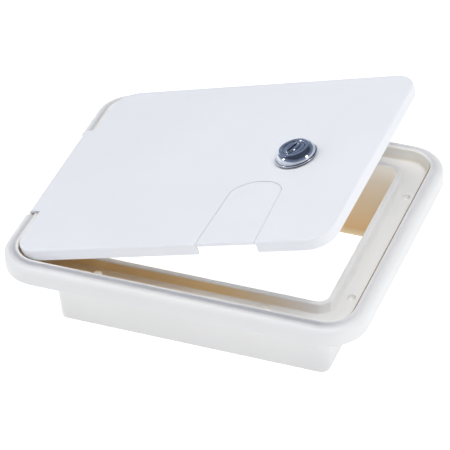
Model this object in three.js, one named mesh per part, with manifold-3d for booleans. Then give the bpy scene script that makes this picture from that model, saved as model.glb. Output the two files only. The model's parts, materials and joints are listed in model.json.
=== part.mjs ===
// Deck hatch: a moulded plastic frame with a hinged, lockable lid and a rocking cable flap.
// Millimetres, +Z up. Origin: centre of the frame at the bottom edge of its skirt.
// +X runs from the hinge side to the lock side. The lid stands part open at rest.

import * as THREE from 'three';
import { mergeVertices } from 'three/addons/utils/BufferGeometryUtils.js';
import Module from 'manifold-3d';

const wasm = await Module();
wasm.setup();

// ---- driving dimensions -------------------------------------------------------------------

const LENGTH = 280;
const WIDTH = 230;
const DEPTH = 72;
const CLEARANCE = 0.3;
const CORNER_STEPS = 7;

// Frame: heights above the skirt's bottom edge, insets in from the outer edge.
const OUTER_CORNER_RADIUS = 30.5;
const SEAT_Z = DEPTH - 16.6;
const GUTTER_Z = DEPTH - 12;
const CREST_Z = DEPTH - 0.8;
const CREST_INSET = 11;
const CREST_ROUND = 1.6;
const SHOULDER_CENTRE = [4.7, DEPTH - 7.2];
const SHOULDER_ROUND = 4.5;
const DIP = [7.2, DEPTH - 3.1];
const LIP_Z = DEPTH - 3.3;
const LIP_WIDTH = 4.6;
const LIP_ROUND = 1.4;
const OPENING_INSET = 33;
const OPENING_CORNER_RADIUS = 8;
const SKIRT_DRAFT = 2.9;
const SCREW_HOLE_RADIUS = 3.1;
const SCREW_INSET = 20.5;
const END_SCREW_Y = 61.5;
const SIDE_SCREW_X = 65;
const LEDGE_Z = 48.8;
const LEDGE_REACH = 7.2;
const LEDGE_EDGE = 1.8;
const LEDGE_ROOT = 7.5;
const LEDGE_HALF = 16;

// Hinge: the rim is interrupted where the lid's tab reaches over it.
const HINGE_X = -133.6;
const HINGE_Z = 66.6;
const OPEN_ANGLE = THREE.MathUtils.degToRad(16.1);
const HINGE_GAP_HALF = 53.2;
const HINGE_BLOCK_HALF = 60;
const KNUCKLE_RADIUS = 2.8;
const KNUCKLE_Y = [31, 45.2];
const EAR_Y = [45.7, 51.6];
const PIN_RADIUS = 1.3;

// Lid, in its closed place.
const LID_TOP = 71.6;
const LID_X = [-126.3, 128.4];
const LID_HALF_Y = 103;
const LID_CORNER_RADIUS = 18.5;
const LID_EDGE_DEPTH = 9.3;
const LID_EDGE_ROUND = 1.2;
const LID_WALL = 2.2;
const PLATE = 1.8;
const SEAL_CORNER_RADIUS = 9.5;
const TAB_HALF_Y = 52.5;
const TAB_X = -136.4;
const TAB_ROUND = 3.6;

// Cable flap: a tapering tongue with an arched end, let into the lid's front edge.
const FLAP_X = 49.4;
const FLAP_FRONT_HALF = 23.3;
const FLAP_REAR_HALF = 20.6;
const FLAP_SHOULDER_Y = -43.5;
const FLAP_TOP_Y = -28.6;
const FLAP_GAP = 0.5;
const FLAP_PLATE = 2.6;
const FLAP_PIVOT_Y = -45;
const FLAP_PIVOT_Z = LID_TOP - 4;
const FLAP_BARREL_RADIUS = 2.2;
const FLAP_PIN_RADIUS = 0.9;
const FLAP_PIN_HALF = FLAP_REAR_HALF + FLAP_GAP + 4;

// Lock: heights are measured from the lid's top face along the lock's axis.
const LOCK_X = 66.6;
const LOCK_Y = 0.7;
const LOCK_FLANGE_RADIUS = 16;
const LOCK_FACE_RADIUS = 11.6;
const LOCK_FACE_Z = 8.5;
const BARREL_RADIUS = 9.3;
const BARREL_END = -21;
const PLUG_RADIUS = 6;
const PLUG_HEAD_RADIUS = 8.2;
const KEY_ANGLE = THREE.MathUtils.degToRad(68);
const TAIL_SIDE = 7;
const CAM_LENGTH = 37.5;
const CAM_WIDTH = 14;
const CAM_Z = [-25.9, -23.6];
const WAFER_COUNT = 5;
const WAFER_PITCH = 2.4;
const WAFER_TOP_Z = -4;

// ---- geometry helpers ---------------------------------------------------------------------

// A closed solid from any closed geometry, with its faces turned outward.
function solid(geometry) {
  const bare = geometry.clone();
  bare.deleteAttribute('normal');
  bare.deleteAttribute('uv');
  const merged = mergeVertices(bare, 1e-4);
  const position = merged.getAttribute('position');
  const corners = [new THREE.Vector3(), new THREE.Vector3(), new THREE.Vector3()];
  const index = merged.getIndex().array;
  const triangles = [];
  let volume = 0;
  for (let i = 0; i < index.length; i += 3) {
    const [a, b, c] = [index[i], index[i + 1], index[i + 2]];
    if (a === b || b === c || c === a) continue;
    triangles.push([a, b, c]);
    [a, b, c].forEach((vertex, k) => corners[k].fromBufferAttribute(position, vertex));
    volume += corners[0].dot(corners[1].clone().cross(corners[2]));
  }
  const facing = volume < 0 ? triangles.map(([a, b, c]) => [a, c, b]) : triangles;
  const mesh = new wasm.Mesh({
    numProp: 3,
    vertProperties: new Float32Array(position.array),
    triVerts: new Uint32Array(facing.flat()),
  });
  return new wasm.Manifold(mesh);
}

function geometryOf(body) {
  const mesh = body.getMesh();
  const geometry = new THREE.BufferGeometry();
  const vertices = new Float32Array(mesh.vertProperties);
  geometry.setAttribute('position', new THREE.BufferAttribute(vertices, 3));
  geometry.setIndex(new THREE.BufferAttribute(new Uint32Array(mesh.triVerts), 1));
  geometry.computeVertexNormals();
  return geometry;
}

// A span of Y measured outward from the middle, on the side asked for.
const onSide = (side, [near, far]) => (side > 0 ? [near, far] : [-far, -near]);

const join = (bodies) => bodies.reduce((whole, body) => whole.add(body));
const cut = (body, tools) => tools.reduce((left, tool) => left.subtract(tool), body);

function box([x0, x1], [y0, y1], [z0, z1]) {
  const geometry = new THREE.BoxGeometry(x1 - x0, y1 - y0, z1 - z0);
  return solid(geometry.translate((x0 + x1) / 2, (y0 + y1) / 2, (z0 + z1) / 2));
}

// A cylinder along Z between two heights.
function post(radius, x, y, [z0, z1], sides = 20) {
  const geometry = new THREE.CylinderGeometry(radius, radius, z1 - z0, sides);
  return solid(geometry.rotateX(Math.PI / 2).translate(x, y, (z0 + z1) / 2));
}

// A cylinder along Y, or along X, between two ends.
function rodAlongY(radius, x, z, [y0, y1], sides = 16) {
  const geometry = new THREE.CylinderGeometry(radius, radius, y1 - y0, sides);
  return solid(geometry.translate(x, (y0 + y1) / 2, z));
}

function rodAlongX(radius, y, z, [x0, x1], sides = 16) {
  const geometry = new THREE.CylinderGeometry(radius, radius, x1 - x0, sides);
  return solid(geometry.rotateZ(Math.PI / 2).translate((x0 + x1) / 2, y, z));
}

// A plan outline made solid between two heights.
function slab(shape, [z0, z1], curveSegments = 12) {
  const options = { depth: z1 - z0, bevelEnabled: false, curveSegments };
  return solid(new THREE.ExtrudeGeometry(shape, options).translate(0, 0, z0));
}

// An XZ side outline made solid between two Y places.
function sideSlab(shape, [y0, y1], curveSegments = 10) {
  const options = { depth: y1 - y0, bevelEnabled: false, curveSegments };
  const geometry = new THREE.ExtrudeGeometry(shape, options);
  return solid(geometry.rotateX(Math.PI / 2).translate(0, y1, 0));
}

// A turned body: [radius, height] points that start and end on the axis or close on themselves.
function turned(points, sides = 32) {
  const profile = points.map(([radius, height]) => new THREE.Vector2(radius, height));
  return solid(new THREE.LatheGeometry(profile, sides).rotateX(Math.PI / 2));
}

function turnedRing(inner, outer, [z0, z1], sides = 32) {
  return turned([[inner, z0], [outer, z0], [outer, z1], [inner, z1], [inner, z0]], sides);
}

// Points on an arc in a section, from one angle to another in degrees.
function arc(centre, radius, fromDegrees, toDegrees, steps) {
  return Array.from({ length: steps + 1 }, (_, i) => {
    const angle = THREE.MathUtils.degToRad(fromDegrees + ((toDegrees - fromDegrees) * i) / steps);
    return [centre[0] + radius * Math.cos(angle), centre[1] + radius * Math.sin(angle)];
  });
}

// One level ring of a rounded rectangle, with the same number of points whatever its size.
function roundedRing(centreX, halfX, halfY, radius, z) {
  const ring = [];
  for (let corner = 0; corner < 4; corner += 1) {
    const signX = corner === 0 || corner === 3 ? 1 : -1;
    const signY = corner < 2 ? 1 : -1;
    for (let i = 0; i <= CORNER_STEPS; i += 1) {
      const angle = (Math.PI / 2) * (corner + i / CORNER_STEPS);
      const x = centreX + signX * (halfX - radius) + radius * Math.cos(angle);
      const y = signY * (halfY - radius) + radius * Math.sin(angle);
      ring.push([x, y, z]);
    }
  }
  return ring;
}

// Skins a row of rings: a closed loop of them makes a tube-like body, an open row gets end caps.
function loft(rings, closedLoop) {
  const count = rings[0].length;
  const index = [];
  const vertices = rings.flat();
  const spans = closedLoop ? rings.length : rings.length - 1;
  for (let span = 0; span < spans; span += 1) {
    const lower = span * count;
    const upper = ((span + 1) % rings.length) * count;
    for (let i = 0; i < count; i += 1) {
      const next = (i + 1) % count;
      index.push(lower + i, lower + next, upper + next);
      index.push(lower + i, upper + next, upper + i);
    }
  }
  if (!closedLoop) {
    const last = (rings.length - 1) * count;
    for (let i = 1; i < count - 1; i += 1) {
      index.push(0, i + 1, i);
      index.push(last, last + i, last + i + 1);
    }
  }
  const geometry = new THREE.BufferGeometry();
  geometry.setAttribute('position', new THREE.Float32BufferAttribute(vertices.flat(), 3));
  geometry.setIndex(index);
  return solid(geometry);
}

function mesh(name, body, material) {
  const piece = new THREE.Mesh(geometryOf(body), material);
  piece.name = name;
  return piece;
}

// ---- materials ----------------------------------------------------------------------------

function finish(color, roughness, metalness) {
  return new THREE.MeshStandardMaterial({ color, roughness, metalness });
}

const whitePlastic = finish(0xeceded, 0.35, 0);
const chrome = finish(0xc8ccd2, 0.12, 1);
const zincSteel = finish(0xb4b6b8, 0.4, 1);
const stainless = finish(0xc4c6c8, 0.3, 1);
const brass = finish(0xc8a55a, 0.35, 1);
const blackRubber = finish(0x1c1c1d, 0.8, 0);
const greyFoam = finish(0x4a4b4d, 0.9, 0);

// ---- frame --------------------------------------------------------------------------------

// Corners stay parallel to the outer edge round the rim, and to the opening round the lip.
function frameCornerRadius(inset) {
  if (inset < SCREW_INSET) return OUTER_CORNER_RADIUS - inset;
  return Math.max(3, OPENING_CORNER_RADIUS + OPENING_INSET - inset);
}

function frameRing([inset, z]) {
  const radius = frameCornerRadius(inset);
  return roundedRing(0, LENGTH / 2 - inset, WIDTH / 2 - inset, radius, z);
}

// Section over the rim's shoulder, its shallow dip and its crest, across the gutter, over the lip,
// down the skirt and back to the seat. Its points are [inset, height].
function frameSection(rimUnderside) {
  const shoulder = arc(SHOULDER_CENTRE, SHOULDER_ROUND, 180, 85, 4);
  const crest = arc([CREST_INSET - 1.5, CREST_Z - CREST_ROUND], CREST_ROUND, 140, 0, 4);
  const lipOuter = OPENING_INSET - LIP_WIDTH;
  const lip = [
    ...arc([lipOuter + LIP_ROUND, LIP_Z - LIP_ROUND], LIP_ROUND, 180, 90, 2),
    ...arc([OPENING_INSET - LIP_ROUND, LIP_Z - LIP_ROUND], LIP_ROUND, 90, 0, 2),
  ];
  return [
    [0.5, SEAT_Z],
    [0, SEAT_Z + 0.8],
    ...shoulder,
    DIP,
    ...crest,
    [CREST_INSET + 0.1, GUTTER_Z + 1.2],
    [CREST_INSET + 1.3, GUTTER_Z],
    [lipOuter - 1.4, GUTTER_Z],
    [lipOuter - 0.3, GUTTER_Z + 1.2],
    ...lip,
    [OPENING_INSET + SKIRT_DRAFT, 6.5],
    [OPENING_INSET + SKIRT_DRAFT + 1.5, 1.2],
    [OPENING_INSET + SKIRT_DRAFT + 1.2, 0],
    [OPENING_INSET + 1, 0],
    [OPENING_INSET - 1.2, SEAT_Z - 3],
    [OPENING_INSET - 2.6, SEAT_Z],
    ...rimUnderside,
  ];
}

// The moulded rim is a hollow channel, closed to a solid block beside the hinge.
function frameBody() {
  const channel = [[10, SEAT_Z], [9, 66.2], [4.2, 65], [2.8, SEAT_Z]];
  const hollow = loft(frameSection(channel).map(frameRing), true);
  const full = loft(frameSection([]).map(frameRing), true);
  const hingeBlock = box([-LENGTH, 1 - LENGTH / 2 + CREST_INSET],
    [-HINGE_BLOCK_HALF, HINGE_BLOCK_HALF], [0, 2 * DEPTH]);
  return hollow.subtract(hingeBlock).add(full.intersect(hingeBlock));
}

function screwHoles() {
  const span = [SEAT_Z - 2, GUTTER_Z + 2];
  const holes = [];
  for (const side of [-1, 1]) {
    for (const along of [-1, 1]) {
      const endX = side * (LENGTH / 2 - SCREW_INSET);
      const sideY = side * (WIDTH / 2 - SCREW_INSET - 3);
      holes.push(post(SCREW_HOLE_RADIUS, endX, along * END_SCREW_Y, span, 16));
      holes.push(post(SCREW_HOLE_RADIUS, along * SIDE_SCREW_X, sideY, span, 16));
    }
  }
  return holes;
}

// An ear stands on the seat plate and carries one hinge pin.
function earShape() {
  const shape = new THREE.Shape();
  shape.moveTo(HINGE_X - KNUCKLE_RADIUS, GUTTER_Z - 1);
  shape.lineTo(HINGE_X + KNUCKLE_RADIUS, GUTTER_Z - 1);
  shape.lineTo(HINGE_X + KNUCKLE_RADIUS, HINGE_Z);
  shape.absarc(HINGE_X, HINGE_Z, KNUCKLE_RADIUS, 0, Math.PI, false);
  return shape;
}

// The lock's cam turns in under this ledge.
function strikeLedge() {
  const wallX = LENGTH / 2 - OPENING_INSET;
  const shape = new THREE.Shape();
  shape.moveTo(wallX + 0.5, LEDGE_Z);
  shape.lineTo(wallX - LEDGE_REACH, LEDGE_Z);
  shape.lineTo(wallX - LEDGE_REACH, LEDGE_Z + LEDGE_EDGE);
  shape.lineTo(wallX + 0.5, LEDGE_Z + LEDGE_ROOT);
  return sideSlab(shape, [-LEDGE_HALF, LEDGE_HALF]);
}

function makeFrame() {
  const rimGap = box([-LENGTH, 2 - LENGTH / 2 + CREST_INSET],
    [-HINGE_GAP_HALF, HINGE_GAP_HALF], [GUTTER_Z, 2 * DEPTH]);
  const open = cut(frameBody(), [rimGap, ...screwHoles()]);
  const ears = [-1, 1].map((side) => sideSlab(earShape(), onSide(side, EAR_Y)));
  const bore = rodAlongY(PIN_RADIUS + CLEARANCE, HINGE_X, HINGE_Z, [-LENGTH / 2, LENGTH / 2]);
  const boredEars = ears.map((ear) => ear.subtract(bore));
  return mesh('frame', join([open, strikeLedge(), ...boredEars]), whitePlastic);
}

function makeHingePin(name, side) {
  const ends = onSide(side, [KNUCKLE_Y[0] - 0.6, EAR_Y[1] - 0.4]);
  return mesh(name, rodAlongY(PIN_RADIUS, HINGE_X, HINGE_Z, ends), stainless);
}

// ---- lid ----------------------------------------------------------------------------------

const lidCentreX = (LID_X[0] + LID_X[1]) / 2;
const lidHalfX = (LID_X[1] - LID_X[0]) / 2;
const plateUnderside = LID_TOP - PLATE;

function lidRing(inset, z) {
  const radius = Math.max(2, LID_CORNER_RADIUS - inset);
  return roundedRing(lidCentreX, lidHalfX - inset, LID_HALF_Y - inset, radius, z);
}

function lidShell() {
  const edge = arc([LID_EDGE_ROUND, LID_TOP - LID_EDGE_ROUND], LID_EDGE_ROUND, 180, 90, 3);
  const bottom = LID_TOP - LID_EDGE_DEPTH;
  const outer = [[0.4, bottom], [0, bottom + 0.6], ...edge].map(([inset, z]) => lidRing(inset, z));
  const inner = [bottom - 1, plateUnderside].map((z) => lidRing(LID_WALL, z));
  return loft(outer, false).subtract(loft(inner, false));
}

// The tab's section: a plate that rounds over and drops at its outer edge.
function tabShape(dropZ) {
  const [x, z] = [TAB_X + TAB_ROUND, LID_TOP - TAB_ROUND];
  const shape = new THREE.Shape();
  shape.moveTo(LID_X[0] + 3, LID_TOP);
  shape.lineTo(x, LID_TOP);
  shape.absarc(x, z, TAB_ROUND, Math.PI / 2, Math.PI, false);
  shape.lineTo(TAB_X, dropZ);
  shape.lineTo(TAB_X + PLATE, dropZ);
  shape.lineTo(TAB_X + PLATE, z);
  shape.absarc(x, z, TAB_ROUND - PLATE, Math.PI, Math.PI / 2, true);
  shape.lineTo(LID_X[0] + 3, plateUnderside);
  return shape;
}

// At each end of the tab the drop is left off, to clear the frame's ears.
function tabEndShape() {
  const [x, z] = [TAB_X + TAB_ROUND, LID_TOP - TAB_ROUND];
  const shape = new THREE.Shape();
  const endAngle = Math.PI / 2 + Math.acos((TAB_ROUND - PLATE) / TAB_ROUND);
  shape.moveTo(LID_X[0] + 3, LID_TOP);
  shape.lineTo(x, LID_TOP);
  shape.absarc(x, z, TAB_ROUND, Math.PI / 2, endAngle, false);
  shape.lineTo(LID_X[0] + 3, plateUnderside);
  return shape;
}

function knuckleShape() {
  const shape = new THREE.Shape();
  shape.moveTo(HINGE_X - KNUCKLE_RADIUS, HINGE_Z);
  shape.absarc(HINGE_X, HINGE_Z, KNUCKLE_RADIUS, Math.PI, 2 * Math.PI, false);
  shape.lineTo(HINGE_X + KNUCKLE_RADIUS, plateUnderside + 1);
  shape.lineTo(HINGE_X - 1, plateUnderside + 1);
  shape.lineTo(HINGE_X - KNUCKLE_RADIUS, LID_TOP - 3);
  return shape;
}

function tab() {
  const middle = sideSlab(tabShape(HINGE_Z - 0.6), [-KNUCKLE_Y[1], KNUCKLE_Y[1]]);
  const full = sideSlab(tabEndShape(), [-TAB_HALF_Y, TAB_HALF_Y]);
  const knuckles = [-1, 1].map((side) => sideSlab(knuckleShape(), onSide(side, KNUCKLE_Y)));
  const bore = rodAlongY(PIN_RADIUS + CLEARANCE, HINGE_X, HINGE_Z, [-LENGTH / 2, LENGTH / 2]);
  return join([middle, full, ...knuckles]).subtract(bore);
}

// ---- cable flap ---------------------------------------------------------------------------

// Half width of the tongue at a place along it, in front of its shoulders.
function flapHalfWidth(y) {
  const along = (y - FLAP_SHOULDER_Y) / (-LID_HALF_Y - FLAP_SHOULDER_Y);
  return FLAP_REAR_HALF + (FLAP_FRONT_HALF - FLAP_REAR_HALF) * along;
}

// The arched end is half an ellipse; `grow` moves the whole outline outward.
function flapShape(frontY, grow) {
  const shape = new THREE.Shape();
  const frontHalf = flapHalfWidth(frontY) + grow;
  const rise = FLAP_TOP_Y - FLAP_SHOULDER_Y + grow;
  shape.moveTo(FLAP_X - frontHalf, frontY);
  shape.lineTo(FLAP_X + frontHalf, frontY);
  shape.lineTo(FLAP_X + FLAP_REAR_HALF + grow, FLAP_SHOULDER_Y);
  shape.absellipse(FLAP_X, FLAP_SHOULDER_Y, FLAP_REAR_HALF + grow, rise, 0, Math.PI, false);
  return shape;
}

const flapBarrelHalf = FLAP_REAR_HALF - 4;

function makeCableFlap() {
  const plate = slab(flapShape(-LID_HALF_Y + 0.2, 0), [LID_TOP - FLAP_PLATE, LID_TOP], 20);
  const barrel = rodAlongX(FLAP_BARREL_RADIUS, FLAP_PIVOT_Y, FLAP_PIVOT_Z,
    [FLAP_X - flapBarrelHalf, FLAP_X + flapBarrelHalf]);
  return mesh('cable_flap', plate.add(barrel).subtract(flapPinHole()), whitePlastic);
}

function flapPinHole() {
  const half = FLAP_PIN_HALF + 2;
  const radius = FLAP_PIN_RADIUS + CLEARANCE;
  return rodAlongX(radius, FLAP_PIVOT_Y, FLAP_PIVOT_Z, [FLAP_X - half, FLAP_X + half], 12);
}

// Two blocks under the lid carry the flap's pivot pin.
function flapBearings() {
  return [-1, 1].map((side) => {
    const near = FLAP_X + side * (FLAP_REAR_HALF + FLAP_GAP + 0.4);
    const far = near + side * 4;
    const across = [Math.min(near, far), Math.max(near, far)];
    const along = [FLAP_PIVOT_Y - 3, FLAP_PIVOT_Y + 3];
    return box(across, along, [FLAP_PIVOT_Z - 2.4, plateUnderside + 0.5]);
  });
}

function makeFlapPin() {
  const ends = [FLAP_X - FLAP_PIN_HALF, FLAP_X + FLAP_PIN_HALF];
  const rod = rodAlongX(FLAP_PIN_RADIUS, FLAP_PIVOT_Y, FLAP_PIVOT_Z, ends, 12);
  return mesh('flap_pivot_pin', rod, stainless);
}

function makeLid() {
  const shell = join([lidShell(), tab(), ...flapBearings()]);
  const front = -LID_HALF_Y - 1;
  const tongue = slab(flapShape(front, FLAP_GAP), [0, 2 * DEPTH], 20);
  const lockHole = post(BARREL_RADIUS + 0.5, LOCK_X, LOCK_Y, [0, 2 * DEPTH], 32);
  return mesh('lid', cut(shell, [tongue, flapPinHole(), lockHole]), whitePlastic);
}

// A flat seal under the lid, over the frame's lip, left open where the cable flap lifts.
function makeLidSeal() {
  const halfX = LENGTH / 2 - OPENING_INSET + LIP_WIDTH / 2;
  const halfY = WIDTH / 2 - OPENING_INSET + LIP_WIDTH / 2;
  const z = [LIP_Z + CLEARANCE, plateUnderside - CLEARANCE];
  const section = [[-2, z[0] + 0.3], [-1.4, z[0]], [1.4, z[0]], [2, z[0] + 0.3], [2, z[1]], [-2, z[1]]];
  const rings = section.map(([out, height]) => {
    return roundedRing(0, halfX + out, halfY + out, SEAL_CORNER_RADIUS + out, height);
  });
  const flapPlace = slab(flapShape(-LID_HALF_Y, 2), [0, 2 * DEPTH]);
  return mesh('lid_seal', loft(rings, true).subtract(flapPlace), greyFoam);
}

// ---- lock ---------------------------------------------------------------------------------

function makeLockBody() {
  const profile = [
    [PLUG_RADIUS + 0.4, BARREL_END],
    [BARREL_RADIUS - 0.8, BARREL_END],
    [BARREL_RADIUS, BARREL_END + 0.8],
    [BARREL_RADIUS, 1.3],
    [LOCK_FLANGE_RADIUS - 0.8, 1.3],
    ...arc([LOCK_FLANGE_RADIUS - 0.7, 2], 0.7, -70, 90, 4),
    [15, 2.9],
    [14.8, 4.2],
    [14, 5.8],
    [12.9, 7.2],
    [LOCK_FACE_RADIUS, 8.1],
    [LOCK_FACE_RADIUS - 0.5, LOCK_FACE_Z],
    [PLUG_HEAD_RADIUS + 0.5, LOCK_FACE_Z],
    [PLUG_HEAD_RADIUS + 0.4, 3],
    [PLUG_RADIUS + 0.4, 3],
    [PLUG_RADIUS + 0.4, BARREL_END],
  ];
  const housing = turned(profile, 30);
  return mesh('lock_body', housing.add(stopSector()), chrome);
}

// A raised part-ring on the barrel's end leaves the cam's stop a quarter turn.
function stopSector() {
  const [from, to] = [104, 346].map(THREE.MathUtils.degToRad);
  const shape = new THREE.Shape();
  shape.absarc(0, 0, BARREL_RADIUS - 0.9, from, to, false);
  shape.absarc(0, 0, PLUG_RADIUS + 0.9, to, from, true);
  return slab(shape, [BARREL_END - 2, BARREL_END + 0.5], 16);
}

function makeLockGasket() {
  return mesh('lock_gasket', turnedRing(BARREL_RADIUS + 0.6, 14.6, [0.3, 1]), blackRubber);
}

// Teeth bite into the lid's underside and stop the housing turning.
function makeToothWasher() {
  const top = -PLATE - CLEARANCE;
  const shape = new THREE.Shape();
  const teeth = 16;
  for (let i = 0; i < 2 * teeth; i += 1) {
    const angle = (Math.PI * i) / teeth;
    const radius = i % 2 ? 12.4 : 14;
    const point = [radius * Math.cos(angle), radius * Math.sin(angle)];
    if (i === 0) shape.moveTo(...point);
    else shape.lineTo(...point);
  }
  const hole = post(BARREL_RADIUS + CLEARANCE, 0, 0, [top - 2, top + 1], 24);
  return mesh('lock_tooth_washer', slab(shape, [top - 0.7, top]).subtract(hole), stainless);
}

function makeLockNut() {
  const z = [-7.2, -3.2];
  const hexagon = post(14.2, 0, 0, z, 6);
  const chamfered = hexagon.intersect(turned([
    [0, z[0]], [12.6, z[0]], [14.4, z[0] + 1], [14.4, z[1] - 1], [12.6, z[1]], [0, z[1]],
  ], 24));
  const hole = post(BARREL_RADIUS + CLEARANCE, 0, 0, [z[0] - 1, z[1] + 1], 24);
  return mesh('lock_nut', chamfered.subtract(hole), zincSteel);
}

// The plug's key way runs along local X.
function makePlug() {
  const top = LOCK_FACE_Z - 0.2;
  const tailEnd = CAM_Z[0] - 0.4;
  const round = turned([
    [0, BARREL_END - 0.4], [PLUG_RADIUS, BARREL_END - 0.4], [PLUG_RADIUS, -0.3], [5, -0.3], [5, 1.2],
    [PLUG_RADIUS, 1.2], [PLUG_RADIUS, 3.4], [PLUG_HEAD_RADIUS, 3.4], [PLUG_HEAD_RADIUS, top - 0.5],
    [PLUG_HEAD_RADIUS - 0.5, top], [0, top],
  ], 28);
  const tailSpan = [-TAIL_SIDE / 2, TAIL_SIDE / 2];
  const tail = box(tailSpan, tailSpan, [tailEnd, BARREL_END]);
  const guide = new THREE.Shape();
  guide.absellipse(0, 0, 7.6, 3.6, 0, 2 * Math.PI, false);
  const raised = slab(guide, [top - 0.5, top + 0.9], 14);
  const mouth = box([-6.3, 6.3], [-1.3, 1.3], [top - 0.6, top + 2]);
  const keyway = box([-4.5, 4.5], [-0.8, 0.8], [-15.5, top + 2]);
  const screwHole = post(2.3, 0, 0, [tailEnd - 1, -17], 16);
  const reach = PLUG_RADIUS + 1;
  const waferSlots = waferHeights().map((z) => box([-reach, reach], [-2.1, 2.1], [z - 0.65, z + 0.65]));
  const body = cut(join([round, tail, raised]), [mouth, keyway, screwHole, ...waferSlots]);
  return mesh('lock_plug', body, chrome);
}

function waferHeights() {
  return Array.from({ length: WAFER_COUNT }, (_, i) => WAFER_TOP_Z - i * WAFER_PITCH);
}

function makeWafer(name, z) {
  const plate = box([-5.6, 5.6], [-1.8, 1.8], [z - 0.35, z + 0.35]);
  const window = box([-3.2, 3.2], [-1.1, 1.1], [z - 1, z + 1]);
  return mesh(name, plate.subtract(window), brass);
}

function makePlugORing() {
  const section = arc([5.7, 0.45], 0.45, 0, 360, 6);
  return mesh('plug_o_ring', turned(section, 20), blackRubber);
}

function tailHole(z) {
  const half = TAIL_SIDE / 2 + CLEARANCE;
  const geometry = new THREE.BoxGeometry(2 * half, 2 * half, z[1] - z[0]);
  return solid(geometry.rotateZ(KEY_ANGLE).translate(0, 0, (z[0] + z[1]) / 2));
}

// The stop plate's ear runs in the gap of the housing's part-ring.
function makeStopPlate() {
  const z = [BARREL_END - 2.1, BARREL_END - 1.1];
  const disc = post(6.5, 0, 0, z, 28);
  const ear = box([-1, 1], [0, BARREL_RADIUS - 0.8], z);
  const squareHole = tailHole([z[0] - 1, z[1] + 1]);
  return mesh('cam_stop_plate', disc.add(ear).subtract(squareHole), zincSteel);
}

function makeCam() {
  const half = CAM_WIDTH / 2;
  const tip = CAM_LENGTH - half;
  const shape = new THREE.Shape();
  shape.absarc(0, 0, half + 1, Math.PI, 2 * Math.PI, false);
  shape.lineTo(half, 9);
  shape.lineTo(half, tip);
  shape.absarc(0, tip, half, 0, Math.PI, false);
  shape.lineTo(-half, 9);
  const squareHole = tailHole([CAM_Z[0] - 1, CAM_Z[1] + 1]);
  return mesh('lock_cam', slab(shape, CAM_Z, 14).subtract(squareHole), zincSteel);
}

function makeCamWasher() {
  const top = CAM_Z[0] - 0.7;
  return mesh('cam_washer', turnedRing(2.5, 4.6, [top - 0.8, top], 24), stainless);
}

function makeCamScrew() {
  const headTop = CAM_Z[0] - 1.8;
  const screw = turned([
    [0, headTop - 2.6], [2.6, headTop - 2.6], [4, headTop - 1.4], [4, headTop],
    [2, headTop], [2, -18], [1.4, -17.4], [0, -17.4],
  ], 20);
  const slots = [0, Math.PI / 2].map((turn) => {
    const bar = new THREE.BoxGeometry(4.4, 0.9, 2.4).rotateZ(turn);
    return solid(bar.translate(0, 0, headTop - 2.6));
  });
  return mesh('cam_screw', cut(screw, slots), stainless);
}

function makeLock() {
  const plug = new THREE.Group();
  plug.rotation.z = KEY_ANGLE;
  plug.add(makePlug());
  waferHeights().forEach((z, i) => plug.add(makeWafer(`wafer_${i + 1}`, z)));
  const lock = new THREE.Group();
  lock.add(plug, makeLockBody(), makeLockGasket(), makeToothWasher(), makeLockNut());
  lock.add(makePlugORing(), makeStopPlate(), makeCam(), makeCamWasher(), makeCamScrew());
  lock.position.set(LOCK_X, LOCK_Y, LID_TOP);
  return lock;
}

// ---- assembly -----------------------------------------------------------------------------

// Everything on the lid is drawn in its closed place, then swung open about the hinge.
function makeSwungLid() {
  const closed = new THREE.Group();
  closed.add(makeLid(), makeLidSeal(), makeCableFlap(), makeFlapPin(), makeLock());
  closed.position.set(-HINGE_X, 0, -HINGE_Z);
  const swing = new THREE.Group();
  swing.add(closed);
  swing.rotation.y = -OPEN_ANGLE;
  swing.position.set(HINGE_X, 0, HINGE_Z);
  return swing;
}

const hatch = new THREE.Group();
hatch.add(makeFrame());
hatch.add(makeHingePin('hinge_pin_front', -1), makeHingePin('hinge_pin_rear', 1));
hatch.add(makeSwungLid());

export default hatch;
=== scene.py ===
"""Looks of a moulded deck hatch: finely rounded mouldings, a chrome lock, and a soft white studio.

Lengths are millimetres in the hatch's own frame: +Z up, +X towards the lock side, and the origin at
the centre of the skirt's bottom edge. Meshes are scaled to metres as they are made, and the camera
and the lights are placed in metres.
"""

import json
import math

import bpy
from mathutils import Matrix, Vector


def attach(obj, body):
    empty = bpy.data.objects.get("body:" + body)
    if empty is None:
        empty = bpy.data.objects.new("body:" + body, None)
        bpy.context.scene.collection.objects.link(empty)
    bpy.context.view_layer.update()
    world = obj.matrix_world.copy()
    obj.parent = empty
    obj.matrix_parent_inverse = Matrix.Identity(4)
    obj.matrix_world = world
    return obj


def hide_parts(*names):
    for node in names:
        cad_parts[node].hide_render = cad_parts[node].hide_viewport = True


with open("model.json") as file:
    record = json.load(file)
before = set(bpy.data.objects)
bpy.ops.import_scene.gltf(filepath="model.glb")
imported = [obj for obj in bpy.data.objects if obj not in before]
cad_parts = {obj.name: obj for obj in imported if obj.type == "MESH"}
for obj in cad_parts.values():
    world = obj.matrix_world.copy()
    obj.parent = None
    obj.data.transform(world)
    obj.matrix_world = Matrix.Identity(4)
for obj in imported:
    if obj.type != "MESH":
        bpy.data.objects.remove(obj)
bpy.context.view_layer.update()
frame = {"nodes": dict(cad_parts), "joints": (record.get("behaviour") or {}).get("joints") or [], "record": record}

MM = 0.001
CORNER_STEPS = 20
SHARP_ANGLE = math.radians(35)

# How far an added block reaches into the wall behind it.
SINK = 0.5
DEEP_SINK = 1

# ---- sizes of the frame -------------------------------------------------------------------
# Points of a section are (inset from the outer edge, height). The skirt's foot flares by
# (distance in from the skirt's wall, height).

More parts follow.
